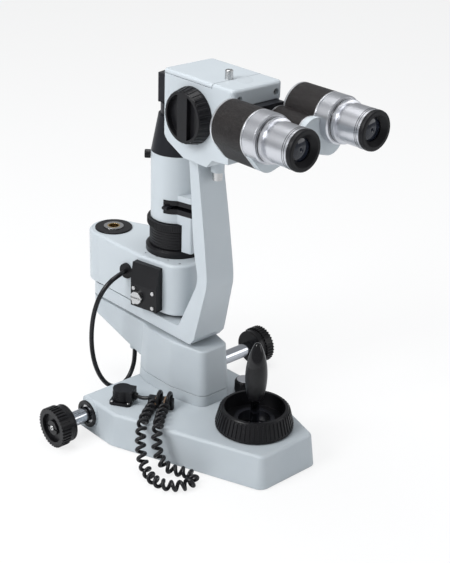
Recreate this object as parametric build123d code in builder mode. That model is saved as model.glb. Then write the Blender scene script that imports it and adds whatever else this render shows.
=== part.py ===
from build123d import *
import os
from math import cos, pi, radians, sin, tan

os.makedirs("parts", exist_ok=True)

# Slit lamp head on its cross-slide base, in millimetres.
# X runs along the wheel shaft, the operator sits towards -Y, Z is up.
# "v" is the distance behind (+) or in front (-) of the swing axis.

# Whole machine
axis_y = 120.5
lamp_swing = 13.0
shaft_fit = 0.05
part_gap = 0.3
metal_wall = 4.0
cover_wall = 3.0

# Cross-slide shaft and wheels
wheel_radius = 17.4
wheel_drum_radius = 15.8
wheel_span = 242.0
wheel_width = 15.5
wheel_teeth_width = 8.5
wheel_recess = 3.0
wheel_recess_radius = 12.6
shaft_radius = 6.3
shaft_length = 236.0
shaft_v = -71.2
hub_screw_radius = 6.5
hub_screw_head = 2.2
sleeve_radius = 8.5
sleeve_length = 18.0
bush_radius = 11.9
bush_press_radius = 10.5
bush_rim = 1.5
bush_length = 20.0

# Base casting
base_bottom = 1.0
base_top = 29.7
base_roof = 5.0
base_draft = 7.0
base_edge_round = 3.0
base_left = -83.5
base_right = 51.0
base_back_v = -57.2
base_front_v = -233.0
bottom_plate_thickness = 2.5
bearing_boss_radius = 12.0

# Joystick and height ring
stick_v = -188.6
stick_pivot_z = 22.0
stick_rod_radius = 3.6
stick_foot_radius = 5.0
stick_foot_lift = 0.6
stick_hub_radius = 6.0
stick_top = 106.0
grip_bottom = 55.0
grip_radius = 9.1
gimbal_inner = 8.5
gimbal_outer = 12.4
gimbal_height = 7.0
pin_radius = 1.6
post_inner = 13.6
post_outer = 17.0
post_top = 36.0
ring_base_radius = 32.3
ring_rim_radius = 28.3
ring_top = 47.1
ring_wall = 3.0
ring_hub_radius = 20.5
pulley_bottom = 12.5
pulley_height = 7.0
belt_thickness = 1.5
glide_radius = 19.0
glide_hole = 12.0

# Lift inside the column
lift_v = -100.0
screw_radius = 4.0
screw_pulley_radius = 8.6
screw_top = 74.0
guide_radius = 3.0
guide_spread = 12.5
guide_top = 76.0
carriage_bottom = 33.0
carriage_height = 20.0

# Column
plinth_top = 39.0
column_bottom = 39.4
column_top = 80.5
column_back_z = 47.0
column_half_top = 21.2
column_draft = 4.0
column_front_v = -138.5
column_back_v = -57.5
nose_radius = 17.3
nose_underside_z = 62.5
spindle_radius = 7.0
spindle_top = 140.0
pad_radius = 12.5
socket_bore_radius = 4.5
socket_radius = 5.6
socket_depth = 28.0
cap_ring_radius = 8.8

# Lock knob on the base
lock_x = 31.0
lock_v = -143.0
lock_radius = 8.0
lock_top = 41.5
lock_stem_radius = 3.0

# Microscope arm
arm_bottom = 82.0
arm_boss_top = 94.3
arm_boss_radius = 17.3
arm_half_low = 16.6
arm_half_bend = 14.5
arm_half_top = 13.0

# Magnification changer housing
box_half = 25.4
box_back_v = -97.0
box_front_v = -176.7
box_seam_z = 311.5
box_seam_gap = 0.4
box_top = 315.0
box_front_foot_z = 301.6
box_floor = 249.0
box_slope_top_v = -103.5
box_slope_top_z = 258.0
box_slope_foot_v = -123.0
optical_z = 286.0
objective_radius = 17.0
objective_depth = 8.0
drum_v = -133.0
drum_radius = 19.0
drum_axle_radius = 5.0
knob_back_radius = 22.2
knob_front_radius = 19.6
knob_length = 10.5
knob_gap = 0.4
screw_hole_x = 18.5
screw_hole_z = 307.0
screw_head_radius = 2.5

# Binocular
eye_half = 36.2
eye_z = 295.0
eye_face_v = -262.6
channel_half = 13.7
channel_radius = 13.4
cap_radius = 18.5
lower_lobe_radius = 13.0
lower_lobe_x = 31.2
lower_lobe_z = 280.5
prism_back_v = -185.2
leather_front_v = -218.0
lobe_front_v = -223.5
cap_front_v = -231.0
eye_tube_radius = 16.4
diopter_back_v = -232.6
diopter_radius = 15.2
diopter_rim_radius = 16.6
diopter_front_v = -258.3
eyecup_radius = 15.1
eyecup_mouth_radius = 9.5
eyecup_depth = 6.0
plate_front_v = -184.7

# Lamp housing, in the frame that swings about the axis
housing_bottom = 98.2
housing_top = 144.2
housing_end_radius = 21.5
housing_half = 34.6
housing_front_v = -104.0
housing_corner = 20.0
housing_wall = 3.0
lamp_floor = 2.5
tower_v = -69.7
tower_radius = 22.3
tower_bottom = 174.6
tower_top = 232.8
flange_radius = 26.3
flange_top = 150.4
slit_ring_radius = 22.8
slit_ring_top = 167.2
aperture_ring_radius = 25.0
aperture_ring_bottom = 167.8
aperture_ring_top = 174.0
light_bore = 14.0
spine_half = 17.7
spine_face_v = -98.0
spine_top = 200.2
notch_bottom = 183.0
notch_top = 195.2
cone_top = 264.0
cone_top_radius = 16.4
neck_radius = 14.6
neck_top = 274.0
head_top = 298.0
tower_knob_radius = 3.7
tower_knob_z = 228.0
grommet_v = -40.0
grommet_z = 124.5
grommet_radius = 6.8
box_side_back = -53.0
box_side_front = -81.0
box_side_bottom = 100.5
box_side_top = 139.5
box_side_depth = 8.0
box_side_thin = 4.5

# Cables
lamp_cable_radius = 2.05
lead_radius = 1.6
curl_radius = 4.9
socket_x = -60.5
socket_v = -90.0
plug_radius = 8.2
gland_x = -9.5
gland_v = -42.0
gland_bottom = 44.5
gland_radius = 4.2


def level(height):
    """Horizontal plane at a height, its origin on the swing axis."""
    return Plane(origin=(0, axis_y, height), x_dir=(1, 0, 0), z_dir=(0, 0, 1))


def side_plane(x):
    """Plane whose sketch axes are v and Z, facing +X."""
    return Plane(origin=(x, axis_y, 0), x_dir=(0, 1, 0), z_dir=(1, 0, 0))


def front_plane(v):
    """Plane whose sketch axes are X and Z, facing the operator."""
    return Plane(origin=(0, axis_y + v, 0), x_dir=(1, 0, 0), z_dir=(0, -1, 0))


lamp_x = Vector(cos(radians(lamp_swing)), sin(radians(lamp_swing)), 0)
lamp_v = Vector(-sin(radians(lamp_swing)), cos(radians(lamp_swing)), 0)


def lamp_level(height):
    """Horizontal plane of the swung lamp unit."""
    return Plane(origin=(0, axis_y, height), x_dir=lamp_x, z_dir=(0, 0, 1))


def lamp_side(x):
    """Plane of the lamp unit whose sketch axes are v and Z, facing sideways."""
    return Plane(origin=Vector(0, axis_y, 0) + lamp_x * x, x_dir=lamp_v, z_dir=lamp_x)


def lamp_front(v):
    """Plane of the lamp unit whose sketch axes are across and Z, facing forward."""
    return Plane(origin=Vector(0, axis_y, 0) + lamp_v * v, x_dir=lamp_x, z_dir=lamp_v * -1)


def save(piece, name):
    """Label a finished piece and write it as one STEP file."""
    piece.part.label = name
    export_step(piece.part, f"parts/{name}.step")


def closed_profile(*points):
    """Face from a closed outline, inside a sketch."""
    with BuildLine() as outline:
        Polyline(*points, close=True)
    make_face(outline.edges())


# Base casting: a wide wing over the shaft that narrows towards the operator
base_outline = [
    (base_left, base_back_v),
    (base_left, -103),
    (-31.5, base_front_v),
    (30, base_front_v),
    (43, -189),
    (52, -121),
    (base_right - 1, base_back_v),
]
base_corner_radii = [3, 14, 9, 9, 40, 20, 3]
base_height = base_top - base_bottom
cavity_height = base_height - base_roof

with BuildPart() as base_housing:
    with BuildSketch(level(base_bottom)) as base_plan:
        with BuildLine():
            FilletPolyline(*base_outline, radius=base_corner_radii, close=True)
        make_face()
    extrude(amount=base_height, taper=base_draft)
    fillet(faces().sort_by(Axis.Z)[-1].edges(), base_edge_round)
    with BuildSketch(level(base_bottom)) as cavity_plan:
        with BuildLine():
            FilletPolyline(*base_outline, radius=base_corner_radii, close=True)
        make_face()
        offset(amount=-metal_wall, kind=Kind.ARC)
    extrude(amount=cavity_height, taper=base_draft, mode=Mode.SUBTRACT)
    # Bearing bosses for the wheel shaft at both ends of the wing
    with BuildSketch(side_plane(base_left)):
        with Locations((shaft_v, wheel_radius)):
            Circle(bearing_boss_radius)
    extrude(amount=bush_length)
    with BuildSketch(side_plane(base_right)):
        with Locations((shaft_v, wheel_radius)):
            Circle(bearing_boss_radius)
    extrude(amount=-bush_length)
    with BuildSketch(side_plane(base_left - bush_rim)):
        with Locations((shaft_v, wheel_radius)):
            Circle(bush_press_radius)
    extrude(amount=base_right - base_left + 2 * bush_rim, mode=Mode.SUBTRACT)
    # Opening for the height ring's hub, and bores for rods, screw and lock stem
    with BuildSketch(level(base_top - base_roof)):
        with Locations((0, stick_v)):
            Circle(ring_hub_radius + part_gap)
        with Locations((0, lift_v)):
            Circle(screw_radius + shaft_fit)
        with Locations((-guide_spread, lift_v), (guide_spread, lift_v)):
            Circle(guide_radius)
        with Locations((lock_x, lock_v)):
            Circle(lock_stem_radius + shaft_fit)
    extrude(amount=base_roof, mode=Mode.SUBTRACT)
save(base_housing, "base_housing")

# Flanged bushes in the two bearing bosses
with BuildPart() as axle_bushes:
    with BuildSketch(side_plane(base_left - bush_rim)):
        with Locations((shaft_v, wheel_radius)):
            Circle(bush_radius)
    extrude(amount=bush_rim)
    with BuildSketch(side_plane(base_left - bush_rim)):
        with Locations((shaft_v, wheel_radius)):
            Circle(bush_press_radius)
    extrude(amount=bush_rim + bush_length)
    with BuildSketch(side_plane(base_right)):
        with Locations((shaft_v, wheel_radius)):
            Circle(bush_radius)
    extrude(amount=bush_rim)
    with BuildSketch(side_plane(base_right + bush_rim)):
        with Locations((shaft_v, wheel_radius)):
            Circle(bush_press_radius)
    extrude(amount=-bush_rim - bush_length)
    with BuildSketch(side_plane(base_left - bush_rim)):
        with Locations((shaft_v, wheel_radius)):
            Circle(sleeve_radius + shaft_fit)
    extrude(amount=base_right - base_left + 2 * bush_rim, mode=Mode.SUBTRACT)
save(axle_bushes, "axle_bushes")

# Linear sleeves between shaft and bushes: they turn with the shaft and let it slide
with BuildPart() as slide_sleeves:
    for sleeve_start in (base_left, base_right - sleeve_length):
        with BuildSketch(side_plane(sleeve_start)):
            with Locations((shaft_v, wheel_radius)):
                Circle(sleeve_radius)
                Circle(shaft_radius + shaft_fit, mode=Mode.SUBTRACT)
        extrude(amount=sleeve_length)
save(slide_sleeves, "slide_sleeves")

with BuildPart() as axle_shaft:
    with BuildSketch(side_plane(-shaft_length / 2)):
        with Locations((shaft_v, wheel_radius)):
            Circle(shaft_radius)
    extrude(amount=shaft_length)
    chamfer(edges().filter_by(GeomType.CIRCLE), 0.6)
save(axle_shaft, "axle_shaft")

# Two wheels, each with a smooth drum inboard and a toothed band outboard
wheel_teeth = 36
tooth_depth = 1.0
drum_step = wheel_width - wheel_teeth_width
wheel_inner_x = wheel_span / 2 - wheel_width
with BuildPart() as wheels:
    for hand in (-1, 1):
        with BuildSketch(side_plane(hand * wheel_inner_x)):
            with Locations((shaft_v, wheel_radius)):
                Circle(wheel_drum_radius)
        extrude(amount=hand * drum_step)
        with BuildSketch(side_plane(hand * (wheel_inner_x + drum_step))):
            with Locations((shaft_v, wheel_radius)):
                Circle(wheel_radius)
        extrude(amount=hand * wheel_teeth_width)
        with BuildSketch(side_plane(hand * (wheel_inner_x + drum_step))):
            with Locations((shaft_v, wheel_radius)):
                with PolarLocations(wheel_radius, wheel_teeth, start_angle=180 / wheel_teeth - 90):
                    Rectangle(2 * tooth_depth, wheel_radius * pi / wheel_teeth)
        extrude(amount=hand * wheel_teeth_width, mode=Mode.SUBTRACT)
        with BuildSketch(side_plane(hand * wheel_span / 2)):
            with Locations((shaft_v, wheel_radius)):
                Circle(wheel_recess_radius)
        extrude(amount=-hand * wheel_recess, mode=Mode.SUBTRACT)
        with BuildSketch(side_plane(hand * wheel_inner_x)):
            with Locations((shaft_v, wheel_radius)):
                Circle(shaft_radius)
        extrude(amount=hand * (wheel_width - wheel_recess), mode=Mode.SUBTRACT)
save(wheels, "wheels")

# Slotted screws that hold the wheels on the shaft ends
with BuildPart() as hub_screws:
    for hand in (-1, 1):
        seat = hand * (wheel_span / 2 - wheel_recess)
        with BuildSketch(side_plane(seat)):
            with Locations((shaft_v, wheel_radius)):
                Circle(hub_screw_radius)
        extrude(amount=hand * hub_screw_head)
        with BuildSketch(side_plane(seat + hand * hub_screw_head)):
            with Locations((shaft_v, wheel_radius)):
                Rectangle(2 * hub_screw_radius, 1.4)
        extrude(amount=-hand * 0.9, mode=Mode.SUBTRACT)
save(hub_screws, "hub_screws")

# Bottom plate with the post that carries the joystick's gimbal
plate_inset = metal_wall + 2 * part_gap
with BuildPart() as bottom_plate:
    with BuildSketch(level(base_bottom)):
        with BuildLine():
            FilletPolyline(*base_outline, radius=base_corner_radii, close=True)
        make_face()
        offset(amount=-plate_inset, kind=Kind.ARC)
        with Locations((0, stick_v)):
            Circle(post_inner, mode=Mode.SUBTRACT)
    extrude(amount=bottom_plate_thickness)
    with BuildSketch(level(base_bottom)):
        with Locations((0, stick_v)):
            Circle(post_outer)
            Circle(post_inner, mode=Mode.SUBTRACT)
    extrude(amount=post_top - base_bottom)
    with BuildSketch(side_plane(-post_outer)):
        with Locations((stick_v, stick_pivot_z)):
            Circle(pin_radius + shaft_fit)
    extrude(amount=2 * post_outer, mode=Mode.SUBTRACT)
    # The shaft's bosses reach down to the plate, so it is cut back under them
    with BuildSketch(side_plane(base_left)):
        with Locations((shaft_v, wheel_radius)):
            Circle(bearing_boss_radius + part_gap)
    extrude(amount=base_right - base_left, mode=Mode.SUBTRACT)
    # Cup for the lower end of the lift screw
    with BuildSketch(level(base_bottom + bottom_plate_thickness)):
        with Locations((0, lift_v)):
            Circle(screw_radius + 2.5)
            Circle(screw_radius + shaft_fit, mode=Mode.SUBTRACT)
    extrude(amount=4)
save(bottom_plate, "bottom_plate")

# Nylon shoe around the joystick foot: the base glides on it and on the wheels
with BuildPart() as glide_shoe:
    with BuildSketch(level(0)):
        with Locations((0, stick_v)):
            Circle(glide_radius)
            Circle(glide_hole, mode=Mode.SUBTRACT)
    extrude(amount=base_bottom)
save(glide_shoe, "glide_shoe")

# Joystick: a gimbal ring on two pins, and the rod on two pins in the ring
with BuildPart() as gimbal_ring:
    with BuildSketch(level(stick_pivot_z - gimbal_height / 2)):
        with Locations((0, stick_v)):
            Circle(gimbal_outer)
            Circle(gimbal_inner, mode=Mode.SUBTRACT)
    extrude(amount=gimbal_height)
    with BuildSketch(front_plane(stick_v - gimbal_outer)):
        with Locations((0, stick_pivot_z)):
            Circle(pin_radius + shaft_fit)
    extrude(amount=-2 * gimbal_outer, mode=Mode.SUBTRACT)
    for hand in (-1, 1):
        with BuildSketch(side_plane(hand * (gimbal_inner + 1))):
            with Locations((stick_v, stick_pivot_z)):
                Circle(pin_radius)
        extrude(amount=hand * (post_outer - gimbal_inner - 2))
save(gimbal_ring, "gimbal_ring")

foot_z = stick_foot_radius + stick_foot_lift
with BuildPart() as joystick_rod:
    with BuildSketch(side_plane(0)):
        with BuildLine():
            Polyline((stick_v, foot_z), (stick_v + stick_rod_radius, foot_z),
                     (stick_v + stick_rod_radius, grip_bottom + 25), (stick_v, grip_bottom + 25),
                     close=True)
        make_face()
    revolve(axis=Axis((0, axis_y + stick_v, 0), (0, 0, 1)))
    with Locations((0, axis_y + stick_v, foot_z)):
        Sphere(stick_foot_radius)
    with Locations((0, axis_y + stick_v, stick_pivot_z)):
        Sphere(stick_hub_radius)
    with BuildSketch(front_plane(stick_v - gimbal_outer + 0.8)):
        with Locations((0, stick_pivot_z)):
            Circle(pin_radius)
    extrude(amount=-2 * gimbal_outer + 1.6)
save(joystick_rod, "joystick_rod")

# Grip: a long pointed bulb
grip_bore = 25.0
grip_tip = 3.2
with BuildPart() as joystick_grip:
    with BuildSketch(side_plane(0)):
        with BuildLine():
            tip = CenterArc((stick_v, stick_top - grip_tip), grip_tip, 90, 65)
            Spline(tip @ 1, (stick_v - 6.9, grip_bottom + 38), (stick_v - grip_radius, grip_bottom + 22),
                   (stick_v - 8, grip_bottom + 7))
            Polyline((stick_v - 8, grip_bottom + 7), (stick_v - 6.2, grip_bottom),
                     (stick_v - stick_rod_radius, grip_bottom),
                     (stick_v - stick_rod_radius, grip_bottom + grip_bore),
                     (stick_v, grip_bottom + grip_bore), tip @ 0)
        make_face()
    revolve(axis=Axis((0, axis_y + stick_v, 0), (0, 0, 1)))
save(joystick_grip, "joystick_grip")

# Height ring: ribbed cup around the joystick, its hub and pulley inside the base
ring_floor = base_top + part_gap
with BuildPart() as height_ring:
    with BuildSketch(side_plane(0)):
        closed_profile(
            (stick_v - post_outer - shaft_fit, pulley_bottom),
            (stick_v - ring_hub_radius, pulley_bottom),
            (stick_v - ring_hub_radius, ring_floor),
            (stick_v - ring_base_radius + 1, ring_floor),
            (stick_v - ring_base_radius, ring_floor + 1.5),
            (stick_v - ring_rim_radius, ring_top - 0.8),
            (stick_v - ring_rim_radius + 0.8, ring_top),
            (stick_v - ring_rim_radius + ring_wall, ring_top),
            (stick_v - ring_rim_radius + ring_wall - 1.5, ring_floor + ring_wall),
            (stick_v - post_outer - shaft_fit, ring_floor + ring_wall),
        )
    revolve(axis=Axis((0, axis_y + stick_v, 0), (0, 0, 1)))
save(height_ring, "height_ring")

# Lift screw with its pulley, turned by the belt from the height ring
with BuildPart() as lift_screw:
    with BuildSketch(level(base_bottom + bottom_plate_thickness + part_gap)):
        with Locations((0, lift_v)):
            Circle(screw_radius)
    extrude(amount=screw_top - base_bottom - bottom_plate_thickness - part_gap)
    with BuildSketch(level(pulley_bottom - 1)):
        with Locations((0, lift_v)):
            Circle(screw_pulley_radius)
    extrude(amount=pulley_height + 2)
save(lift_screw, "lift_screw")


def belt_plan(growth):
    """Face of the loop round the two pulleys, grown by a distance."""
    big = ring_hub_radius + growth
    small = screw_pulley_radius + growth
    lean = (big - small) / (lift_v - stick_v)
    slope = (1 - lean * lean) ** 0.5
    left_big = (-big * slope, stick_v + big * lean)
    right_big = (big * slope, stick_v + big * lean)
    left_small = (-small * slope, lift_v + small * lean)
    right_small = (small * slope, lift_v + small * lean)
    with BuildLine() as loop:
        Line(left_big, left_small)
        ThreePointArc(left_small, (0, lift_v + small), right_small)
        Line(right_small, right_big)
        ThreePointArc(right_big, (0, stick_v - big), left_big)
    make_face(loop.edges())


with BuildPart() as lift_belt:
    with BuildSketch(level(pulley_bottom + 0.5)):
        belt_plan(part_gap + belt_thickness)
    extrude(amount=pulley_height - 1)
    with BuildSketch(level(pulley_bottom + 0.5)):
        belt_plan(part_gap)
    extrude(amount=pulley_height - 1, mode=Mode.SUBTRACT)
save(lift_belt, "lift_belt")

with BuildPart() as guide_rods:
    with BuildSketch(level(base_top - base_roof)):
        with Locations((-guide_spread, lift_v), (guide_spread, lift_v)):
            Circle(guide_radius)
    extrude(amount=guide_top - base_top + base_roof)
save(guide_rods, "guide_rods")

# Column: fixed plinth, and the housing that rises on the guide rods
column_growth = (column_top - base_top) * tan(radians(column_draft))


def column_outline(half, back, front):
    """Plan of the column, a long box rounded towards the operator."""
    return [
        (-half * 0.82, back),
        (-half, back - 14),
        (-half, front + 34),
        (-half * 0.66, front),
        (half * 0.66, front),
        (half, front + 34),
        (half, back - 14),
        (half * 0.82, back),
    ]


column_radii = [6, 20, 30, 9, 9, 30, 20, 6]
plinth_half = column_half_top + column_growth
with BuildPart() as column_plinth:
    with BuildSketch(level(base_top)):
        with BuildLine():
            FilletPolyline(*column_outline(plinth_half, base_back_v - 3.6, column_front_v - 3.6),
                           radius=column_radii, close=True)
        make_face()
    extrude(amount=plinth_top - base_top, taper=column_draft)
    with BuildSketch(level(base_top)):
        with BuildLine():
            FilletPolyline(*column_outline(plinth_half, base_back_v - 3.6, column_front_v - 3.6),
                           radius=column_radii, close=True)
        make_face()
        offset(amount=-cover_wall - 0.8, kind=Kind.ARC)
    extrude(amount=plinth_top - base_top, mode=Mode.SUBTRACT)
save(column_plinth, "column_plinth")

column_half_low = column_half_top + (column_top - column_bottom) * tan(radians(column_draft))
carriage_half_x = guide_spread + guide_radius + 1.0
with BuildPart() as column_housing:
    with BuildSketch(level(column_bottom)):
        with BuildLine():
            FilletPolyline(*column_outline(column_half_low, base_back_v - 3.6, column_front_v - 3.0),
                           radius=column_radii, close=True)
        make_face()
    extrude(amount=column_top - column_bottom, taper=column_draft)
    fillet(faces().sort_by(Axis.Z)[-1].edges(), 2.0)
    # Nose that reaches back under the swing axis, its underside slanting up
    with BuildSketch(side_plane(-nose_radius)):
        closed_profile(
            (column_back_v - 12, column_back_z),
            (column_back_v - 2, column_back_z),
            (-3, nose_underside_z),
            (nose_radius + 5, nose_underside_z + 6),
            (nose_radius + 5, column_top),
            (column_back_v - 12, column_top),
        )
    extrude(amount=2 * nose_radius)
    with BuildSketch(level(0)):
        Circle(nose_radius)
        with Locations((0, column_back_v)):
            Rectangle(2 * nose_radius + 40, -2 * column_back_v)
        with Locations((0, column_front_v)):
            Rectangle(2 * nose_radius + 40, -column_front_v)
    extrude(amount=column_top, mode=Mode.INTERSECT)
    # Gland under the nose for the lamp cable
    with BuildSketch(level(gland_bottom)):
        with Locations((gland_x, gland_v)):
            Circle(gland_radius)
    extrude(amount=nose_underside_z - gland_bottom)
    # Hollow for the lift, open at the bottom
    with BuildSketch(level(column_bottom)):
        with BuildLine():
            FilletPolyline(*column_outline(column_half_low, base_back_v - 3.6, column_front_v - 3.0),
                           radius=column_radii, close=True)
        make_face()
        offset(amount=-cover_wall, kind=Kind.ARC)
    extrude(amount=column_top - column_bottom - cover_wall, taper=column_draft, mode=Mode.SUBTRACT)
    with BuildSketch(level(0)):
        Circle(spindle_radius)
    extrude(amount=column_top, mode=Mode.SUBTRACT)
save(column_housing, "column_housing")

# Bronze carriage: nut on the screw, slides on the rods, hung from the housing's roof
carriage_top = column_top - cover_wall
with BuildPart() as lift_carriage:
    with BuildSketch(level(carriage_bottom)):
        with Locations((0, lift_v)):
            RectangleRounded(2 * carriage_half_x, 16, 3)
    extrude(amount=carriage_height)
    with BuildSketch(level(carriage_bottom + carriage_height)):
        with Locations((0, lift_v - 6), (0, lift_v + 6)):
            RectangleRounded(14, 4, 0.8)
    extrude(amount=carriage_top - carriage_bottom - carriage_height)
    with BuildSketch(level(carriage_bottom)):
        with Locations((0, lift_v)):
            Circle(screw_radius + shaft_fit)
        with Locations((-guide_spread, lift_v), (guide_spread, lift_v)):
            Circle(guide_radius + shaft_fit)
    extrude(amount=carriage_height, mode=Mode.SUBTRACT)
save(lift_carriage, "lift_carriage")

# Swing spindle pressed in the nose, with a steel ring round its top
spindle_bottom = nose_underside_z + 4
with BuildPart() as swing_spindle:
    with BuildSketch(level(spindle_bottom)):
        Circle(spindle_radius)
    extrude(amount=spindle_top - spindle_bottom)
    with BuildSketch(level(column_top)):
        Circle(pad_radius)
    extrude(amount=arm_bottom - part_gap - column_top)
    with BuildSketch(level(housing_top + part_gap)):
        Circle(cap_ring_radius)
    extrude(amount=1.8)
    with BuildSketch(level(spindle_top)):
        Circle(spindle_radius)
    extrude(amount=housing_top + part_gap - spindle_top)
    with BuildSketch(level(housing_top + part_gap + 1.8)):
        Circle(socket_radius)
    extrude(amount=-socket_depth - 4, mode=Mode.SUBTRACT)
save(swing_spindle, "swing_spindle")

# Brass socket for the focusing test rod
socket_top = housing_top + part_gap + 1.8
with BuildPart() as rod_socket:
    with BuildSketch(level(socket_top - socket_depth - 4)):
        Circle(socket_radius)
    extrude(amount=socket_depth + 4)
    with BuildSketch(level(socket_top)):
        Circle(socket_bore_radius)
    extrude(amount=-socket_depth, mode=Mode.SUBTRACT)
save(rod_socket, "rod_socket")

# Lock knob beside the column
with BuildPart() as lock_knob:
    with BuildSketch(level(base_top + part_gap)):
        with Locations((lock_x, lock_v)):
            Circle(lock_radius)
    extrude(amount=lock_top - base_top - part_gap)
    chamfer(edges().filter_by(GeomType.CIRCLE).sort_by(Axis.Z)[-1], 0.8)
    with BuildSketch(level(base_top - base_roof - 6)):
        with Locations((lock_x, lock_v)):
            Circle(lock_stem_radius)
    extrude(amount=base_roof + 6 + part_gap)
save(lock_knob, "lock_knob")

# Microscope arm: a foot towards the operator, the rising web, and the boss on the spindle
bend_z = 146.0
web_top_z = box_floor + (box_slope_top_z - box_floor) * (-114 - box_slope_foot_v) / (
    box_slope_top_v - box_slope_foot_v)
with BuildPart() as microscope_arm:
    with BuildSketch(side_plane(-arm_half_low)):
        with BuildLine():
            Polyline((0, arm_bottom), (-118, arm_bottom + 1.2), (-124.5, 83.4), (-130, 90), (-141.2, 138))
            Spline((-141.2, 138), (-141.7, bend_z), (-140.6, 156), (-135.5, 190), (-125.5, box_floor))
            Polyline((-125.5, box_floor), (box_slope_foot_v, box_floor), (-114, web_top_z))
            Spline((-114, web_top_z), (-121.2, 196), (-127.2, 158), (-129.7, 147.5), (-128, 135.5))
            Line((-128, 135.5), (-111.5, 99))
            ThreePointArc((-111.5, 99), (-109.2, 95.6), (-105.2, arm_boss_top))
            Polyline((-105.2, arm_boss_top), (0, arm_boss_top), (0, arm_bottom))
        make_face()
    extrude(amount=2 * arm_half_low)
    with BuildSketch(front_plane(10)):
        closed_profile(
            (-arm_half_low, 0),
            (arm_half_low, 0),
            (arm_half_low, arm_boss_top + 2),
            (arm_half_bend, bend_z),
            (arm_half_top, box_floor + 8),
            (-arm_half_top, box_floor + 8),
            (-arm_half_bend, bend_z),
            (-arm_half_low, arm_boss_top + 2),
        )
    extrude(amount=160, mode=Mode.INTERSECT)
    with BuildSketch(level(arm_bottom)):
        Circle(arm_boss_radius)
    extrude(amount=arm_boss_top - arm_bottom)
    with BuildSketch(level(arm_boss_top)):
        Circle(pad_radius)
    extrude(amount=housing_bottom - part_gap - arm_boss_top)
    with BuildSketch(level(0)):
        Circle(spindle_radius + shaft_fit)
    extrude(amount=housing_bottom, mode=Mode.SUBTRACT)
save(microscope_arm, "microscope_arm")

# Magnification changer housing
box_length = box_back_v - box_front_v
box_mid_v = (box_back_v + box_front_v) / 2
cover_front_v = -154.0
lip_depth = 3.0
with BuildPart() as changer_housing:
    with BuildSketch(level(box_floor)):
        with Locations((0, box_mid_v)):
            RectangleRounded(2 * box_half, box_length, 4)
    extrude(amount=box_top - box_floor)
    with BuildSketch(side_plane(-box_half)):
        closed_profile(
            (box_back_v, box_top),
            (box_back_v, 264.5),
            (box_slope_top_v, box_slope_top_z),
            (box_slope_foot_v, box_floor),
            (-150, box_floor),
            (-156, 256),
            (box_front_v + lip_depth, 257.5),
            (box_front_v + lip_depth, box_front_foot_z),
            (box_front_v, box_front_foot_z),
            (box_front_v, box_top),
        )
    extrude(amount=2 * box_half, mode=Mode.INTERSECT)
    fillet(edges().filter_by(Axis.Y).group_by(Axis.Z)[-1], 2.5)
    # Seat for the cover, and the chamber below it
    with BuildSketch(level(box_seam_z)):
        with Locations((0, (box_back_v + cover_front_v) / 2)):
            Rectangle(2 * box_half + 1, box_back_v - cover_front_v)
    extrude(amount=box_top, mode=Mode.SUBTRACT)
    with BuildSketch(level(264)):
        with Locations((0, box_mid_v + 3)):
            Rectangle(2 * box_half - 2 * cover_wall, box_length - 2 * cover_wall - 8)
    extrude(amount=box_seam_z - 264, mode=Mode.SUBTRACT)
    # Light ports, drum axle bore and the two screw holes in the front lip
    with BuildSketch(front_plane(box_back_v)):
        with Locations((0, optical_z)):
            Circle(objective_radius - 4)
    extrude(amount=14, both=True, mode=Mode.SUBTRACT)
    with BuildSketch(front_plane(-150)):
        with Locations((-channel_half, optical_z), (channel_half, optical_z)):
            Circle(6)
    extrude(amount=40, mode=Mode.SUBTRACT)
    with BuildSketch(side_plane(-box_half - 1)):
        with Locations((drum_v, optical_z)):
            Circle(drum_axle_radius + shaft_fit)
    extrude(amount=2 * box_half + 2, mode=Mode.SUBTRACT)
    with BuildSketch(front_plane(box_front_v)):
        with Locations((-screw_hole_x, screw_hole_z), (screw_hole_x, screw_hole_z)):
            Circle(screw_head_radius)
    extrude(amount=-6, mode=Mode.SUBTRACT)
    # Lug for the arm's clamping stud
    with BuildSketch(level(236)):
        with Locations((0, -134.8)):
            Circle(5.5)
    extrude(amount=box_floor - 236 + 1)
save(changer_housing, "changer_housing")

with BuildPart() as changer_cover:
    with BuildSketch(level(box_seam_z + box_seam_gap)):
        with Locations((0, box_mid_v)):
            RectangleRounded(2 * box_half, box_length, 4)
    extrude(amount=box_top - box_seam_z - box_seam_gap)
    fillet(faces().sort_by(Axis.Z)[-1].edges(), 2.2)
    with BuildSketch(level(0)):
        with Locations((0, box_front_v)):
            Rectangle(2 * box_half + 2, 2 * (cover_front_v - box_front_v + part_gap))
    extrude(amount=box_top + 1, mode=Mode.SUBTRACT)
    # Rim that drops into the chamber
    with BuildSketch(level(box_seam_z - 3)):
        with Locations((0, -126)):
            Rectangle(2 * box_half - 2 * cover_wall - 0.6, 40)
            Rectangle(2 * box_half - 2 * cover_wall - 4.6, 36, mode=Mode.SUBTRACT)
    extrude(amount=3 + box_seam_gap)
save(changer_cover, "changer_cover")

# Objective: black mount on the back face with its lens
objective_front_v = box_back_v + objective_depth
with BuildPart() as objective_mount:
    with BuildSketch(front_plane(objective_front_v)):
        with Locations((0, optical_z)):
            Circle(objective_radius)
            Circle(objective_radius - 3, mode=Mode.SUBTRACT)
    extrude(amount=objective_depth)
    fillet(edges().filter_by(GeomType.CIRCLE).sort_by(Axis.Y)[-1], 1.2)
save(objective_mount, "objective_mount")

with BuildPart() as objective_lens:
    with BuildSketch(front_plane(objective_front_v - 2.5)):
        with Locations((0, optical_z)):
            Circle(objective_radius - 3)
    extrude(amount=4.5)
save(objective_lens, "objective_lens")

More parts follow.
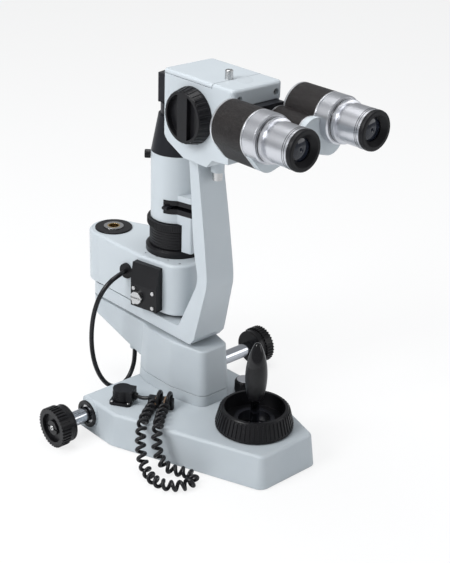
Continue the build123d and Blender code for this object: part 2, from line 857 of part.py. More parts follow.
# Screws of the changer housing: two in the front lip, one tall stud on top, one under the arm
with BuildPart() as housing_screws:
    with BuildSketch(front_plane(box_front_v + 2)):
        with Locations((-screw_hole_x, screw_hole_z), (screw_hole_x, screw_hole_z)):
            Circle(screw_head_radius)
            RegularPolygon(1.3, 6, mode=Mode.SUBTRACT)
    extrude(amount=-4)
    with BuildSketch(level(box_top)):
        with Locations((-5.6, -150.5)):
            Circle(3.1)
    extrude(amount=7)
    fillet(edges().filter_by(GeomType.CIRCLE).sort_by(Axis.Z)[-1], 0.8)
    with BuildSketch(level(229)):
        with Locations((0, -134.8)):
            Circle(4)
    extrude(amount=7)
save(housing_screws, "housing_screws")

# Drum of the magnification changer, turned by the two side knobs
drum_half = box_half - cover_wall - 1.5
with BuildPart() as magnification_drum:
    with BuildSketch(side_plane(-drum_half)):
        with Locations((drum_v, optical_z)):
            Circle(drum_radius)
    extrude(amount=2 * drum_half)
    with BuildSketch(side_plane(-box_half - knob_gap)):
        with Locations((drum_v, optical_z)):
            Circle(drum_axle_radius)
    extrude(amount=2 * box_half + 2 * knob_gap)
    with BuildSketch(front_plane(drum_v)):
        with Locations((-channel_half + 2, optical_z), (channel_half - 2, optical_z)):
            Circle(6)
    extrude(amount=drum_radius + 1, both=True, mode=Mode.SUBTRACT)
save(magnification_drum, "magnification_drum")

knob_bar = 11.0
knob_scoop = 4.0
with BuildPart() as magnification_knobs:
    for hand in (-1, 1):
        knob_seat = hand * (box_half + knob_gap)
        knob_face = knob_seat + hand * knob_length
        with BuildSketch(side_plane(knob_seat)):
            with Locations((drum_v, optical_z)):
                Circle(knob_back_radius)
        with BuildSketch(side_plane(knob_face)):
            with Locations((drum_v, optical_z)):
                Circle(knob_front_radius)
        loft()
        # Two scooped recesses leave a grip bar across the face
        with BuildSketch(side_plane(knob_face)):
            with Locations((drum_v, optical_z)):
                Circle(knob_front_radius - 2)
                Rectangle(knob_bar, 2 * knob_front_radius, mode=Mode.SUBTRACT)
        extrude(amount=-hand * knob_scoop, mode=Mode.SUBTRACT)
save(magnification_knobs, "magnification_knobs")

# Black plate of the binocular with the two channel tubes that the prism housings turn on
stub_radius = 9.0
stub_bore = 7.0
stub_front_v = prism_back_v - 10
with BuildPart() as binocular_plate:
    with BuildSketch(front_plane(box_front_v + lip_depth)):
        with Locations((0, (262 + box_front_foot_z) / 2 - part_gap)):
            RectangleRounded(2 * box_half - 1, box_front_foot_z - 262, 6)
    extrude(amount=box_front_v + lip_depth - plate_front_v)
    with BuildSketch(front_plane(plate_front_v)):
        with Locations((-channel_half, optical_z), (channel_half, optical_z)):
            Circle(stub_radius)
    extrude(amount=plate_front_v - stub_front_v)
    with BuildSketch(front_plane(box_front_v + lip_depth)):
        with Locations((-channel_half, optical_z), (channel_half, optical_z)):
            Circle(stub_bore)
    extrude(amount=box_front_v + lip_depth - stub_front_v, mode=Mode.SUBTRACT)
save(binocular_plate, "binocular_plate")

# Prism housing: three lobes round the eyepiece, the channel and the prism below
channel_seat = stub_radius + shaft_fit
prism_length = prism_back_v - lobe_front_v
with BuildPart() as right_prism_housing:
    with BuildSketch(front_plane(prism_back_v)) as prism_section:
        with Locations((eye_half, eye_z)):
            Circle(cap_radius)
        with Locations((lower_lobe_x, lower_lobe_z)):
            Circle(lower_lobe_radius)
        make_hull()
        with BuildSketch(mode=Mode.PRIVATE) as lower_hull:
            with Locations((channel_half, optical_z)):
                Circle(channel_radius)
            with Locations((lower_lobe_x, lower_lobe_z)):
                Circle(lower_lobe_radius)
            make_hull()
        add(lower_hull.sketch)
    extrude(amount=prism_length)
    with BuildSketch(front_plane(prism_back_v)):
        with Locations((channel_half, optical_z)):
            Circle(channel_seat)
    extrude(amount=prism_back_v - stub_front_v + part_gap, mode=Mode.SUBTRACT)
    with BuildSketch(front_plane(leather_front_v)):
        with Locations((eye_half, eye_z)):
            Circle(cap_radius)
    extrude(amount=prism_length, mode=Mode.SUBTRACT)
    with BuildSketch(front_plane(prism_back_v - 14)):
        with Locations((eye_half, eye_z)):
            Circle(12)
    extrude(amount=prism_length, mode=Mode.SUBTRACT)
save(right_prism_housing, "right_prism_housing")
with BuildPart() as left_prism_housing:
    mirror(right_prism_housing.part, about=Plane.YZ)
save(left_prism_housing, "left_prism_housing")


# Eyepiece pieces: each is a revolved profile given as (radius, v) pairs
def eye_ring(side, *profile):
    """Ring round the eyepiece axis on one side, from its radius and v profile."""
    with BuildPart() as ring:
        with BuildSketch(Plane(origin=(side * eye_half, axis_y, eye_z), x_dir=(1, 0, 0), z_dir=(0, 0, 1))):
            closed_profile(*profile)
        revolve(axis=Axis((side * eye_half, axis_y, eye_z), (0, 1, 0)))
    return ring


sleeve_outer = 11.9
sleeve_inner = 10.2
sleeve_front_v = -252.0
for side, hand_name in ((-1, "left"), (1, "right")):
    eyepiece_cap = eye_ring(
        side,
        (sleeve_inner, leather_front_v), (cap_radius - 0.6, leather_front_v),
        (cap_radius, leather_front_v - 0.8), (cap_radius, cap_front_v + 1.2),
        (cap_radius - 1.0, cap_front_v), (eye_tube_radius, cap_front_v),
        (eye_tube_radius, cap_front_v - 1.3), (sleeve_outer, cap_front_v - 1.3),
        (sleeve_outer, sleeve_front_v), (sleeve_inner, sleeve_front_v))
    save(eyepiece_cap, f"{hand_name}_eyepiece_cap")
    diopter_ring = eye_ring(
        side,
        (sleeve_outer + shaft_fit, diopter_back_v), (diopter_rim_radius - 0.3, diopter_back_v),
        (diopter_rim_radius, diopter_back_v - 0.5), (diopter_rim_radius, diopter_back_v - 3.2),
        (diopter_radius - 1, diopter_back_v - 3.8), (diopter_radius - 1, diopter_back_v - 5.2),
        (diopter_radius, diopter_back_v - 6.4), (diopter_radius, diopter_front_v),
        (sleeve_outer + shaft_fit, diopter_front_v))
    save(diopter_ring, f"{hand_name}_diopter_ring")
    eyecup = eye_ring(
        side,
        (eyecup_mouth_radius - 1, diopter_front_v), (eyecup_radius, diopter_front_v),
        (eyecup_radius + 0.3, diopter_front_v - 1.2), (eyecup_radius, eye_face_v + 0.8),
        (eyecup_radius - 0.8, eye_face_v), (eyecup_mouth_radius + 2.5, eye_face_v),
        (eyecup_mouth_radius - 1, eye_face_v + eyecup_depth - 2))
    save(eyecup, f"{hand_name}_eyecup")

# Lamp housing: a boat-shaped box that swings on the spindle
housing_boss = 13.0


def housing_plan(inset):
    """Plan of the lamp housing, its outline moved in by a wall."""
    half = housing_half - inset
    end = housing_end_radius - inset
    front = housing_front_v + inset
    with BuildLine() as plan:
        ThreePointArc((-end, 0), (0, end), (end, 0))
        Line((end, 0), (half - 0.8, -56))
        Line((half - 0.8, -56), (half, -84))
        ThreePointArc((half, -84), (half * 0.845, front + 6), (half * 0.47, front + 0.9))
        ThreePointArc((half * 0.47, front + 0.9), (0, front), (-half * 0.47, front + 0.9))
        ThreePointArc((-half * 0.47, front + 0.9), (-half * 0.845, front + 6), (-half, -84))
        Line((-half, -84), (-half + 0.8, -56))
        Line((-half + 0.8, -56), (-end, 0))
    make_face(plan.edges())


vent_x = -26.0
vent_radius = 1.0
with BuildPart() as lamp_housing:
    with BuildSketch(lamp_level(housing_bottom)):
        housing_plan(0)
    extrude(amount=housing_top - housing_bottom)
    fillet(faces().sort_by(Axis.Z)[-1].edges(), 2.5)
    with BuildSketch(lamp_level(housing_bottom)):
        housing_plan(housing_wall)
    extrude(amount=housing_top - housing_bottom - housing_wall, mode=Mode.SUBTRACT)
    with BuildSketch(lamp_level(housing_bottom)):
        Circle(housing_boss)
    extrude(amount=housing_top - housing_bottom)
    with BuildSketch(lamp_level(0)):
        Circle(spindle_radius + shaft_fit)
        with Locations((0, tower_v)):
            Circle(light_bore)
    extrude(amount=housing_top + 1, mode=Mode.SUBTRACT)
    # Vent holes in two rows on top
    with BuildSketch(lamp_level(housing_top)):
        with Locations(*[(hand * vent_x, vent_v) for hand in (1, -1) for vent_v in (-57, -69, -81, -93)]):
            Circle(vent_radius)
    extrude(amount=-housing_wall - 3, mode=Mode.SUBTRACT)
    with BuildSketch(lamp_side(-housing_half - 2)):
        with Locations((grommet_v, grommet_z)):
            Circle(grommet_radius - 1.2)
    extrude(amount=14, mode=Mode.SUBTRACT)
save(lamp_housing, "lamp_housing")

with BuildPart() as lamp_floor_plate:
    with BuildSketch(lamp_level(housing_bottom)):
        housing_plan(housing_wall)
        Circle(housing_boss, mode=Mode.SUBTRACT)
    extrude(amount=lamp_floor)
save(lamp_floor_plate, "lamp_floor_plate")

with BuildPart() as boss_cap:
    with BuildSketch(lamp_level(housing_top)):
        Circle(16.5)
        Circle(cap_ring_radius + part_gap, mode=Mode.SUBTRACT)
    extrude(amount=1.4)
    fillet(edges().filter_by(GeomType.CIRCLE).group_by(Axis.Z)[-1].sort_by(SortBy.RADIUS)[-1], 0.6)
save(boss_cap, "boss_cap")

# Halogen bulb with its ceramic base, standing on the floor plate
bulb_radius = 5.5
bulb_base_height = 9.0
bulb_length = 15.0
bulb_bottom = housing_bottom + lamp_floor
bulb_neck = bulb_bottom + bulb_base_height
with BuildPart() as lamp_bulb:
    with BuildSketch(lamp_level(bulb_bottom)):
        with Locations((0, tower_v)):
            RectangleRounded(20, 16, 3)
    extrude(amount=bulb_base_height)
    with BuildSketch(lamp_level(bulb_neck)):
        with Locations((0, tower_v)):
            Circle(bulb_radius)
    extrude(amount=bulb_length)
    with Locations(Vector(0, axis_y, bulb_neck + bulb_length) + lamp_v * tower_v):
        Sphere(bulb_radius)
save(lamp_bulb, "lamp_bulb")

# Rubber grommet where the lamp cable leaves
grommet_wall_x = -30.0
with BuildPart() as cable_grommet:
    with BuildSketch(lamp_side(grommet_wall_x - 2.6)):
        with Locations((grommet_v, grommet_z)):
            Circle(grommet_radius)
    extrude(amount=2.6)
    with BuildSketch(lamp_level(0)):
        housing_plan(0)
    extrude(amount=housing_top, mode=Mode.SUBTRACT)
    with BuildSketch(lamp_side(grommet_wall_x - 2.6)):
        with Locations((grommet_v, grommet_z)):
            Circle(grommet_radius - 1.3)
    extrude(amount=6)
save(cable_grommet, "cable_grommet")

# Control box on the left side of the housing
box_side_x = -housing_half - box_side_depth
with BuildPart() as control_box:
    with BuildSketch(lamp_front(box_side_back)):
        closed_profile(
            (-housing_half + 4, box_side_bottom),
            (box_side_x, box_side_bottom),
            (box_side_x, 121),
            (-housing_half - box_side_thin, box_side_top),
            (-housing_half + 4, box_side_top),
        )
    extrude(amount=box_side_back - box_side_front)
    fillet(edges().filter_by(GeomType.LINE).sort_by_distance(
        Vector(0, axis_y, 0) + lamp_x * (box_side_x - 60) + Vector(0, -60, 120))[0:2], 1.0)
    with BuildSketch(lamp_level(0)):
        housing_plan(0)
    extrude(amount=housing_top, mode=Mode.SUBTRACT)
save(control_box, "control_box")

with BuildPart() as control_screws:
    with BuildSketch(lamp_side(box_side_x)):
        with Locations((box_side_back - 4, 104), (box_side_front + 4, 104),
                       (box_side_back - 4, 117.5), (box_side_front + 4, 117.5)):
            Circle(1.7)
    extrude(amount=-1.0)
    with BuildSketch(lamp_side(box_side_x)):
        with Locations((-61, 110)):
            Circle(5.5)
    extrude(amount=-3)
    with BuildSketch(lamp_side(box_side_x - 3)):
        with Locations((-61, 110)):
            Rectangle(12, 1.5)
    extrude(amount=1.2, mode=Mode.SUBTRACT)
save(control_screws, "control_screws")

# Tower base with its flange; the slit ring and the aperture ring turn on it
core_radius = 18.0
with BuildPart() as tower_base:
    with BuildSketch(lamp_level(housing_top)):
        with Locations((0, tower_v)):
            Circle(flange_radius)
    extrude(amount=flange_top - housing_top)
    chamfer(edges().filter_by(GeomType.CIRCLE).sort_by(Axis.Z)[-1], 1.5)
    with BuildSketch(lamp_level(housing_top)):
        with Locations((0, tower_v)):
            Circle(core_radius)
    extrude(amount=tower_bottom - housing_top)
    with BuildSketch(lamp_level(housing_top)):
        with Locations((0, tower_v)):
            Circle(light_bore)
    extrude(amount=tower_bottom - housing_top, mode=Mode.SUBTRACT)
save(tower_base, "tower_base")

with BuildPart() as slit_ring:
    with BuildSketch(lamp_level(flange_top + part_gap)):
        with Locations((0, tower_v)):
            Circle(slit_ring_radius)
            Circle(core_radius + shaft_fit, mode=Mode.SUBTRACT)
    extrude(amount=slit_ring_top - flange_top - part_gap)
save(slit_ring, "slit_ring")

with BuildPart() as aperture_ring:
    with BuildSketch(lamp_level(aperture_ring_bottom)):
        with Locations((0, tower_v)):
            Circle(aperture_ring_radius)
            Circle(core_radius + shaft_fit, mode=Mode.SUBTRACT)
    extrude(amount=aperture_ring_top - aperture_ring_bottom)
save(aperture_ring, "aperture_ring")

# Lamp tower: round tube with a spine towards the operator, and a slot for the filters
pocket_radius = aperture_ring_radius + 0.5
spine_bottom = flange_top + part_gap
slot_right = 11.0
with BuildPart() as lamp_tower:
    with BuildSketch(lamp_level(spine_bottom)):
        with Locations((0, (tower_v + spine_face_v) / 2)):
            Rectangle(2 * spine_half, tower_v - spine_face_v)
    extrude(amount=spine_top - spine_bottom)
    fillet(edges().filter_by(Axis.Z), 2.0)
    with BuildSketch(lamp_level(spine_bottom)):
        with Locations((0, tower_v)):
            Circle(pocket_radius)
    extrude(amount=tower_bottom - spine_bottom, mode=Mode.SUBTRACT)
    with BuildSketch(lamp_level(tower_bottom)):
        with Locations((0, tower_v)):
            Circle(tower_radius)
    extrude(amount=tower_top - tower_bottom)
    with BuildSketch(lamp_level(tower_bottom)):
        with Locations((0, tower_v)):
            Circle(light_bore)
    extrude(amount=tower_top - tower_bottom, mode=Mode.SUBTRACT)
    with BuildSketch(lamp_side(-30)):
        closed_profile((-72, notch_bottom), (-100, notch_bottom), (-100, notch_top), (-72, notch_top))
    extrude(amount=30 + slot_right, mode=Mode.SUBTRACT)
save(lamp_tower, "lamp_tower")

# Black filter case in the slot, cut by the groove that the lever moves in
groove_bottom = 187.6
groove_top = 190.8
lever_thickness = 2.4
with BuildPart() as filter_case:
    with BuildSketch(lamp_level(notch_bottom)):
        with Locations((0, tower_v)):
            Circle(tower_radius)
        with Locations((0, (tower_v + spine_face_v) / 2)):
            Rectangle(2 * spine_half, tower_v - spine_face_v)
        with Locations((0, tower_v)):
            Circle(light_bore, mode=Mode.SUBTRACT)
    extrude(amount=notch_top - notch_bottom)
    with BuildSketch(lamp_side(-30)):
        closed_profile((-72, notch_bottom), (-99, notch_bottom), (-99, notch_top), (-72, notch_top))
    extrude(amount=30 + slot_right, mode=Mode.INTERSECT)
    with BuildSketch(lamp_level(groove_bottom)):
        with Locations((-40, -86)):
            Rectangle(84, 50)
        with Locations((0, tower_v)):
            Circle(light_bore + 1.0)
    extrude(amount=groove_top - groove_bottom, mode=Mode.SUBTRACT)
save(filter_case, "filter_case")

# Filter lever: a ring round the light path with a finger that reaches outside
lever_bottom = (groove_bottom + groove_top - lever_thickness) / 2
finger_radius = 26.0
with BuildPart() as filter_lever:
    with BuildSketch(lamp_level(lever_bottom)):
        with Locations((0, tower_v)):
            Circle(light_bore - part_gap)
            Circle(light_bore - 4, mode=Mode.SUBTRACT)
    extrude(amount=lever_thickness)
    with BuildSketch(lamp_level(lever_bottom)):
        with Locations((-(finger_radius + light_bore - 3) / 2, tower_v - 6.0)):
            Rectangle(finger_radius - light_bore + 3, 5)
    extrude(amount=lever_thickness)
save(filter_lever, "filter_lever")

# Black cone and neck on the tower, and the prism head that sends the light to the eye
with BuildPart() as prism_cone:
    with BuildSketch(lamp_level(tower_top)):
        with Locations((0, tower_v)):
            Circle(tower_radius)
    with BuildSketch(lamp_level(cone_top)):
        with Locations((0, tower_v)):
            Circle(cone_top_radius)
    loft()
    with BuildSketch(lamp_level(cone_top)):
        with Locations((0, tower_v)):
            Circle(neck_radius)
    extrude(amount=neck_top - cone_top)
    with BuildSketch(lamp_level(tower_top)):
        with Locations((0, tower_v)):
            Circle(light_bore - 3)
    extrude(amount=neck_top - tower_top, mode=Mode.SUBTRACT)
save(prism_cone, "prism_cone")

head_half = 11.5
with BuildPart() as prism_head:
    with BuildSketch(lamp_side(-head_half)):
        closed_profile(
            (tower_v + 13, neck_top),
            (tower_v + 13, head_top),
            (tower_v + 5, head_top),
            (tower_v - 12, head_top - 14),
            (tower_v - 12, neck_top),
        )
    extrude(amount=2 * head_half)
    fillet(edges().filter_by(Axis.Z), 1.5)
    with BuildSketch(lamp_front(tower_v + 14)):
        with Locations((0, optical_z)):
            Rectangle(15, 15)
    extrude(amount=6, mode=Mode.SUBTRACT)
save(prism_head, "prism_head")

# Small clamping knob at the back left of the tower
tower_knob_angle = 124.0
knob_dir = lamp_x * cos(radians(tower_knob_angle)) + lamp_v * sin(radians(tower_knob_angle))
tower_centre = Vector(0, axis_y, tower_knob_z) + lamp_v * tower_v
with BuildPart() as tower_knob:
    with BuildSketch(Plane(origin=tower_centre + knob_dir * (tower_radius + part_gap), z_dir=knob_dir)):
        Circle(tower_knob_radius)
    extrude(amount=5)
    fillet(edges().filter_by(GeomType.CIRCLE).sort_by_distance(tower_centre)[-1], 0.8)
save(tower_knob, "tower_knob")

# Connector on the base: flange with its socket, and the angled plug that stands on it
plug_turn = radians(-56.5)
plug_dir = Vector(cos(plug_turn), sin(plug_turn), 0)
flange_height = 2.6
socket_height = 3.4
plug_top = 42.5
lead_z = 36.5
lead_span = 10.0
plug_bottom = base_top + socket_height
socket_centre = Vector(socket_x, axis_y + socket_v, 0)
with BuildPart() as connector_socket:
    with BuildSketch(Plane(origin=socket_centre + Vector(0, 0, base_top), x_dir=plug_dir, z_dir=(0, 0, 1))):
        RectangleRounded(19, 19, 3)
    extrude(amount=flange_height)
    with BuildSketch(Plane(origin=socket_centre + Vector(0, 0, base_top), x_dir=plug_dir, z_dir=(0, 0, 1))):
        Circle(plug_radius - 1)
    extrude(amount=socket_height)
save(connector_socket, "connector_socket")

plug_nose = 13.0
with BuildPart() as cable_plug:
    with BuildSketch(Plane(origin=socket_centre + Vector(0, 0, plug_bottom), x_dir=plug_dir, z_dir=(0, 0, 1))):
        Circle(plug_radius)
        with Locations((plug_radius / 2 + 1, 0)):
            Rectangle(plug_radius + 2, 2 * plug_radius - 3)
    extrude(amount=plug_top - plug_bottom)
    with BuildSketch(Plane(origin=socket_centre + Vector(0, 0, lead_z), z_dir=plug_dir)):
        Circle(lead_radius + 1.4)
    extrude(amount=plug_nose)
save(cable_plug, "cable_plug")

# Clip on the base top that gathers the lead and both ends of the curly cord
clip_height = 9.0
clip_depth = 6.0
clip_width = 22.0
clip_side = plug_dir
clip_dir = Vector(plug_dir.Y, -plug_dir.X, 0)
clip_centre = socket_centre + plug_dir * (plug_nose + lead_span + clip_width / 2) + Vector(0, 0, base_top)
with BuildPart() as cable_clip:
    with BuildSketch(Plane(origin=clip_centre, x_dir=clip_dir, z_dir=(0, 0, 1))):
        RectangleRounded(clip_depth, clip_width, 1.5)
    extrude(amount=clip_height)
save(cable_clip, "cable_clip")


def cord_tube(name, points, radius):
    """Cord of straight runs and tangent arcs through points given as x, v, z."""
    route = [Vector(x, axis_y + v, z) for x, v, z in points]
    radii = []
    for before, corner, after in zip(route, route[1:], route[2:]):
        turn = (corner - before).get_angle(after - corner)
        run = min((corner - before).length, (after - corner).length)
        radii.append(0.45 * run / tan(radians(turn / 2)))
    with BuildPart() as tube:
        with BuildLine():
            path = FilletPolyline(*route, radius=radii)
        with BuildSketch(Plane(origin=path @ 0, z_dir=path % 0)):
            Circle(radius)
        sweep(path=path)
    length = path.length
    share = tube.part.volume / (pi * radius * radius * length)
    print(name, "length", round(length, 1), "volume share", round(share, 4), [round(r, 1) for r in radii])
    save(tube, name)


# Lamp cable: out of the grommet, down behind the base and up into the gland
grommet_out = lamp_x * (grommet_wall_x - 2.6) + lamp_v * grommet_v
lamp_cable_route = [
    (grommet_out.X, grommet_out.Y, grommet_z),
    (-33, -48.6, 124.1),
    (-43.3, -48.2, 119.2),
    (-51, -46, 108.5),
    (-55.6, -44, 94),
    (-57.4, -42.6, 77),
    (-57.2, -42.2, 60),
    (-54.8, -42.6, 44),
    (-49.5, -43.4, 29),
    (-41, -44, 17),
    (-30, -44.2, 12),
    (-19.5, -43.6, 15),
    (-12.5, -42.6, 24),
    (gland_x, gland_v, 34),
    (gland_x, gland_v, gland_bottom),
]
cord_tube("lamp_cable", lamp_cable_route, lamp_cable_radius)

# Lead from the plug to the clip
lead_start = socket_centre + plug_dir * plug_nose
lead_middle = lead_start + plug_dir * (lead_span / 2)
lead_end = lead_start + plug_dir * lead_span
lead_sag = 1.0
lead_route = [
    (lead_start.X, lead_start.Y - axis_y, lead_z),
    (lead_middle.X, lead_middle.Y - axis_y, lead_z - lead_sag),
    (lead_end.X, lead_end.Y - axis_y, lead_z),
]
cord_tube("lead_cable", lead_route, lead_radius)

# Curly cord, doubled: over the left edge of the base, along the floor and back
curl_rest = curl_radius + 0.1
strand_gap = curl_radius + 0.35
curl_out = clip_centre + clip_dir * (clip_depth / 2) - clip_side * strand_gap
curl_back = clip_centre + clip_dir * (clip_depth / 2) + clip_side * strand_gap
curl_top = base_top + curl_radius + 0.4
curly_route = [
    (curl_out.X, curl_out.Y - axis_y, curl_top),
    (-55.5, -121.3, curl_top),
    (-66.5, -128, curl_top),
    (-77, -136, 33),
    (-84, -143, 20.5),
    (-87.5, -151, 9),
    (-90, -161, curl_rest),
    (-92, -172, curl_rest),
    (-89, -183, curl_rest),
    (-80.5, -191, curl_rest),
    (-70, -193, curl_rest),
    (-63.5, -187, curl_rest),
    (-65, -177.5, curl_rest),
    (-71.5, -169, curl_rest),
    (-76, -160.5, 10),
    (-76, -154, 21.5),
    (-70.5, -148.5, 34.5),
    (-60.5, -139.5, curl_top),
    (-49.7, -130, curl_top),
    (curl_back.X, curl_back.Y - axis_y, curl_top),
]
cord_tube("curly_cord", curly_route, curl_radius)
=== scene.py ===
from math import cos, pi, radians, sin

import bmesh
import bpy
from mathutils import Matrix, Vector


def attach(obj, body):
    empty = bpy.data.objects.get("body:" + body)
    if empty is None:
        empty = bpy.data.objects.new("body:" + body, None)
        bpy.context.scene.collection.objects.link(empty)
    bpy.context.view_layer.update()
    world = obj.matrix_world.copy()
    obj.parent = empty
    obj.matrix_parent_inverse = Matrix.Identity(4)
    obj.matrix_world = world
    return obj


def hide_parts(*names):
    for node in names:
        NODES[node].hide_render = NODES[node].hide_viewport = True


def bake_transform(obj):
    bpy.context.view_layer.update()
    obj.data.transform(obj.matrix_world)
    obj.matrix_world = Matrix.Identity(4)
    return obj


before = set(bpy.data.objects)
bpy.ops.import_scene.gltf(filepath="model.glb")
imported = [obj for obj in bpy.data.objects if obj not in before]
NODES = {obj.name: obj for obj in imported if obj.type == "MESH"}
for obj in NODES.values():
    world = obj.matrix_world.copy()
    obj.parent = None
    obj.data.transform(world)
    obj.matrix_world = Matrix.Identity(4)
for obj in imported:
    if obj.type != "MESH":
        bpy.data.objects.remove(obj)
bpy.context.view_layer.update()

# Lengths are in metres, except in at(). First the swing axis, and the lamp unit's turn about it
AXIS_Y = 0.1205
LAMP_TURN = radians(13.0)
LAMP_X = Vector((cos(LAMP_TURN), sin(LAMP_TURN), 0))
LAMP_V = Vector((-sin(LAMP_TURN), cos(LAMP_TURN), 0))
UP = (0, 0, 1)
BACK = (0, 1, 0)
SIDES = ((-1, "left"), (1, "right"))

# Axes of the parts that carry details
TOWER = Vector((0, AXIS_Y, 0)) + LAMP_V * -0.0697
STICK = Vector((0, AXIS_Y - 0.1886, 0))
LOCK = Vector((0.031, AXIS_Y - 0.143, 0))
EYE_HALF = 0.0362
EYE_Z = 0.295
SHAFT_Y = AXIS_Y - 0.0712
SHAFT_Z = 0.0174
WHEEL_DRUM_X = 0.1055
HUB_FACE_X = 0.1202
KNOB_X = 0.0258
KNOB_Y = AXIS_Y - 0.133
KNOB_Z = 0.286


def at(x, v, z):
    """Point in metres from x, distance behind the swing axis and height in millimetres."""
    return Vector((x / 1000, AXIS_Y + v / 1000, z / 1000))


# Materials
class Shader:
    """Small helper that builds one node material."""

    def __init__(self, name, colour, roughness, metallic=0.0):
        self.material = bpy.data.materials.new(name)
        self.material.use_nodes = True
        self.tree = self.material.node_tree
        self.shader = self.tree.nodes["Principled BSDF"]
        self.shader.inputs["Base Color"].default_value = (*colour, 1)
        self.shader.inputs["Roughness"].default_value = roughness
        self.shader.inputs["Metallic"].default_value = metallic

    def node(self, kind, **settings):
        made = self.tree.nodes.new(kind)
        for key, value in settings.items():
            setattr(made, key, value)
        return made

    def link(self, source, target):
        self.tree.links.new(source, target)

    def place(self, part=None):
        """Object coordinates, or one axis of them."""
        coords = self.node("ShaderNodeTexCoord").outputs["Object"]
        if part is None:
            return coords
        split = self.node("ShaderNodeSeparateXYZ")
        self.link(coords, split.inputs[0])
        return split.outputs[part]

    def noise(self, scale, detail=3.0, stretch=None):
        made = self.node("ShaderNodeTexNoise")
        made.inputs["Scale"].default_value = scale
        made.inputs["Detail"].default_value = detail
        source = self.place()
        if stretch:
            mapping = self.node("ShaderNodeMapping")
            mapping.inputs["Scale"].default_value = stretch
            self.link(source, mapping.inputs[0])
            source = mapping.outputs[0]
        self.link(source, made.inputs["Vector"])
        return made.outputs["Fac"]

    def math(self, operation, a, b):
        made = self.node("ShaderNodeMath", operation=operation)
        for index, value in enumerate((a, b)):
            if isinstance(value, (int, float)):
                made.inputs[index].default_value = value
            else:
                self.link(value, made.inputs[index])
        return made.outputs[0]

    def band(self, value, low, high):
        """1 where low < value < high, else 0."""
        above = self.math("GREATER_THAN", value, low)
        below = self.math("LESS_THAN", value, high)
        return self.math("MULTIPLY", above, below)

    def flip(self, value):
        """1 less the value."""
        return self.math("SUBTRACT", 1.0, value)

    def mix_colour(self, factor, first, second):
        made = self.node("ShaderNodeMixRGB")
        for key, value in (("Color1", first), ("Color2", second)):
            if isinstance(value, tuple):
                made.inputs[key].default_value = (*value, 1)
            else:
                self.link(value, made.inputs[key])
        self.link(factor, made.inputs["Fac"])
        return made.outputs[0]

    def colour(self, factor, first, second):
        """Base colour between two colours."""
        self.link(self.mix_colour(factor, first, second), self.shader.inputs["Base Color"])

    def roughness(self, factor, low, high):
        """Roughness between two values."""
        spread = self.node("ShaderNodeMapRange")
        spread.inputs["To Min"].default_value = low
        spread.inputs["To Max"].default_value = high
        self.link(factor, spread.inputs["Value"])
        self.link(spread.outputs[0], self.shader.inputs["Roughness"])

    def specular(self, level):
        self.shader.inputs["Specular IOR Level"].default_value = level

    def coat(self, weight):
        self.shader.inputs["Coat Weight"].default_value = weight

    def finish(self, height=None, strength=0.1, distance=0.0002, edge=0.0004):
        """Rounded edges, and a bump on top of them."""
        bevel = self.node("ShaderNodeBevel")
        bevel.samples = 4
        bevel.inputs["Radius"].default_value = edge
        normal = bevel.outputs[0]
        if height is not None:
            bump = self.node("ShaderNodeBump")
            bump.inputs["Strength"].default_value = strength
            bump.inputs["Distance"].default_value = distance
            self.link(height, bump.inputs["Height"])
            self.link(normal, bump.inputs["Normal"])
            normal = bump.outputs[0]
        self.link(normal, self.shader.inputs["Normal"])
        return self.material


PAINT = (0.49, 0.535, 0.565)
PAINT_WORN = (0.44, 0.485, 0.52)
BASE_PAINT = (0.47, 0.512, 0.54)
BASE_PAINT_WORN = (0.39, 0.435, 0.47)
DEEP_BLACK = (0.006, 0.006, 0.007)
RUBBER_BLACK = (0.005, 0.005, 0.006)
CORD_GREY = (0.012, 0.012, 0.014)
BARE_METAL = (0.6, 0.61, 0.63)
WRAP_DARK = (0.006, 0.005, 0.0055)
WRAP_PALE = (0.015, 0.012, 0.0115)
GLASS_PALE = (0.018, 0.022, 0.034)
GLASS_DARK = (0.006, 0.008, 0.014)

# Where the prism housings' wrap ends on either side, and where their paint begins
WRAP_FRONT_Y = AXIS_Y - 0.2168
WRAP_BACK_Y = AXIS_Y - 0.1868
PAINT_FRONT_Y = AXIS_Y - 0.2181

# The grip's glossy top: its border's height on the axis and slope, and the pitch of the ribs below it
GLOSS_Z = 0.089
GLOSS_SLOPE = 0.45
GRIP_PITCH = 0.0011


def paint(name, edge=0.0009, coat=0.12):
    m = Shader(name, PAINT, 0.42)
    m.colour(m.noise(22, 2), PAINT, PAINT_WORN)
    m.roughness(m.noise(60), 0.36, 0.5)
    m.coat(coat)
    return m.finish(m.noise(900, 2), strength=0.12, distance=0.00008, edge=edge)


def base_paint():
    """Base and column paint, a little darker than the rest."""
    m = Shader("base paint", PAINT, 0.45)
    m.colour(m.noise(30, 3), BASE_PAINT, BASE_PAINT_WORN)
    m.roughness(m.noise(70), 0.4, 0.55)
    return m.finish(m.noise(800, 3), strength=0.16, distance=0.0001, edge=0.0011)


def black_plastic(name="black plastic", colour=DEEP_BLACK, roughness=0.3, grain=1400):
    """Moulded plastic, or another dull material of one colour."""
    m = Shader(name, colour, roughness)
    m.colour(m.noise(40), colour, tuple(c * 1.7 for c in colour))
    m.roughness(m.noise(90), roughness - 0.07, roughness + 0.09)
    m.specular(0.2)
    return m.finish(m.noise(grain, 2), strength=0.18, distance=0.00006)


def metal(name, colour, roughness, stretch=(1, 1, 40), grain=300):
    """Metal with streaks across the axis that the stretch is largest on."""
    m = Shader(name, colour, roughness, 1.0)
    m.roughness(m.noise(grain, 2, stretch), max(0.03, roughness - 0.08), roughness + 0.1)
    return m.finish(m.noise(grain * 2, 2, stretch), strength=0.08, distance=0.00003, edge=0.0003)


